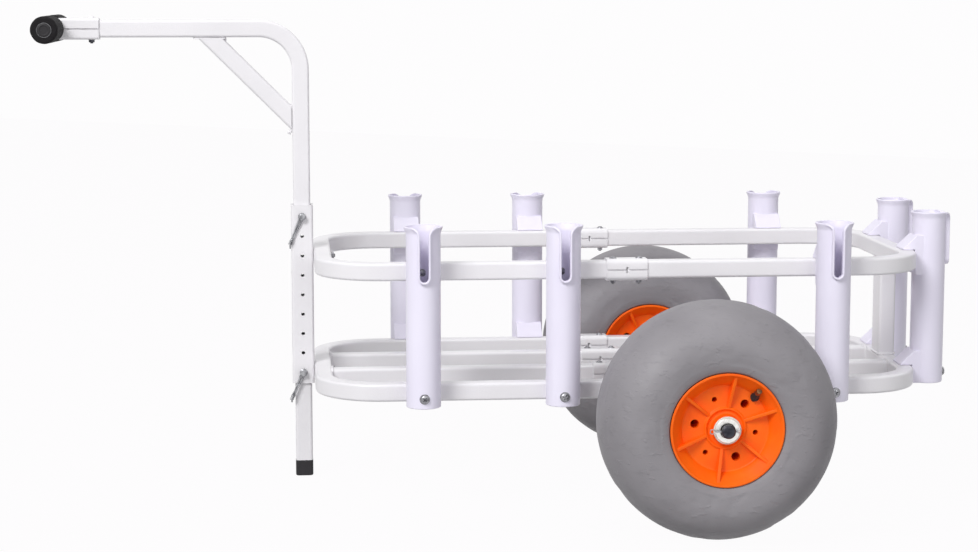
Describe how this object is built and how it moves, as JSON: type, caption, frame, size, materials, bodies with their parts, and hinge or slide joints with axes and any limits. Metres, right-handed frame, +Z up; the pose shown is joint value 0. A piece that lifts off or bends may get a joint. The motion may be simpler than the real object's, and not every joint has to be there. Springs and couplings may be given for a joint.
{
  "type": "utility cart",
  "caption": "Knock-down two-wheeled beach cart: two tube loops joined by bolted splices, slotted rod holders, balloon wheels and a pinned T-handle mast.",
  "frame": {"origin": "centre of the bounding box in X and Y, on the floor that the tyres and the mast's foot stand on", "axes": "+X from the handle towards the rear rod holders, +Y along the axle to the far wheel, +Z up; the rails lean nose-down as in the picture"},
  "size_m": [1.3502, 0.8232, 0.6739],
  "materials": {
    "white_powder_coat": "white powder coat, satin",
    "white_plastic": "white moulded plastic with a faint violet cast, satin",
    "zinc_plate": "zinc plated steel",
    "dark_steel": "dark steel bar",
    "black_foam": "closed-cell foam, matt",
    "black_rubber": "moulded black rubber or soft plastic",
    "grey_tyre": "smooth grey balloon tyre, semi-matt",
    "orange_rim": "moulded orange plastic",
    "pale_bush": "natural plastic bearing bush"
  },
  "bodies": {
    "cart_frame": {"axle": "dark_steel", "axle_pin_far": "zinc_plate", "axle_pin_near": "zinc_plate", "axle_spacer_far": "zinc_plate", "axle_spacer_near": "zinc_plate", "axle_strap_far": "zinc_plate", "axle_strap_far_inner": "zinc_plate", "axle_strap_near": "zinc_plate", "axle_strap_near_inner": "zinc_plate", "axle_washer_far": "zinc_plate", "axle_washer_near": "zinc_plate", "lower_front_frame": "white_powder_coat", "lower_rear_frame": "white_powder_coat", "mast_sleeve": "white_powder_coat", "rear_post": "white_powder_coat", "rod_holder_far_front": "white_plastic", "rod_holder_far_middle": "white_plastic", "rod_holder_far_rear": "white_plastic", "rod_holder_near_front": "white_plastic", "rod_holder_near_middle": "white_plastic", "rod_holder_near_rear": "white_plastic", "rod_holder_rear_far": "white_plastic", "rod_holder_rear_near": "white_plastic", "splice_bottom_far_floor": "white_powder_coat", "splice_bottom_far_lower": "white_powder_coat", "splice_bottom_far_upper": "white_powder_coat", "splice_bottom_near_floor": "white_powder_coat", "splice_bottom_near_lower": "white_powder_coat", "splice_bottom_near_upper": "white_powder_coat", "splice_top_far_floor": "white_powder_coat", "splice_top_far_lower": "white_powder_coat", "splice_top_far_upper": "white_powder_coat", "splice_top_near_floor": "white_powder_coat", "splice_top_near_lower": "white_powder_coat", "splice_top_near_upper": "white_powder_coat", "upper_front_frame": "white_powder_coat", "upper_rear_frame": "white_powder_coat"},
    "mast": {"mast_tube": "white_powder_coat", "mast_brace": "white_powder_coat", "mast_foot": "black_rubber", "grip_clamp_top": "white_powder_coat", "grip_clamp_bottom": "white_powder_coat", "grip_bar": "black_rubber", "grip_foam_near": "black_foam", "grip_foam_far": "black_foam"},
    "near_wheel": {"near_tyre": "grey_tyre", "near_rim": "orange_rim", "near_hub_bush": "pale_bush", "near_valve_stem": "black_rubber"},
    "far_wheel": {"far_tyre": "grey_tyre", "far_rim": "orange_rim", "far_hub_bush": "pale_bush", "far_valve_stem": "black_rubber"},
    "upper_pin": {"lock_pin_upper": "zinc_plate"},
    "lower_pin": {"lock_pin_lower": "zinc_plate"},
    "upper_keeper": {"pin_keeper_upper": "zinc_plate"},
    "lower_keeper": {"pin_keeper_lower": "zinc_plate"}
  },
  "joints": [
    {"name": "near_wheel_spin", "type": "hinge", "parent": "cart_frame", "child": "near_wheel", "pos_m": [0.28951, -0.32, 0.1645], "axis": [0, 1, 0], "continuous": true},
    {"name": "far_wheel_spin", "type": "hinge", "parent": "cart_frame", "child": "far_wheel", "pos_m": [0.28951, 0.32, 0.1645], "axis": [0, 1, 0], "continuous": true},
    {"name": "mast_lift", "type": "slide", "parent": "cart_frame", "child": "mast", "axis": [-0.049, 0, 0.9988], "range_m": [0, 1.218]},
    {"name": "upper_pin_pull", "type": "slide", "parent": "cart_frame", "child": "upper_pin", "axis": [0, -1, 0], "range_m": [0, 0.045]},
    {"name": "upper_keeper_swing", "type": "hinge", "parent": "upper_pin", "child": "upper_keeper", "pos_m": [-0.28378, -0.01865, 0.38971], "axis": [0, 1, 0], "range_deg": [0, 130]},
    {"name": "lower_pin_pull", "type": "slide", "parent": "cart_frame", "child": "lower_pin", "axis": [0, -1, 0], "range_m": [0, 0.045]},
    {"name": "lower_keeper_swing", "type": "hinge", "parent": "lower_pin", "child": "lower_keeper", "pos_m": [-0.2724, -0.01865, 0.15799], "axis": [0, 1, 0], "range_deg": [0, 130]}
  ]
}
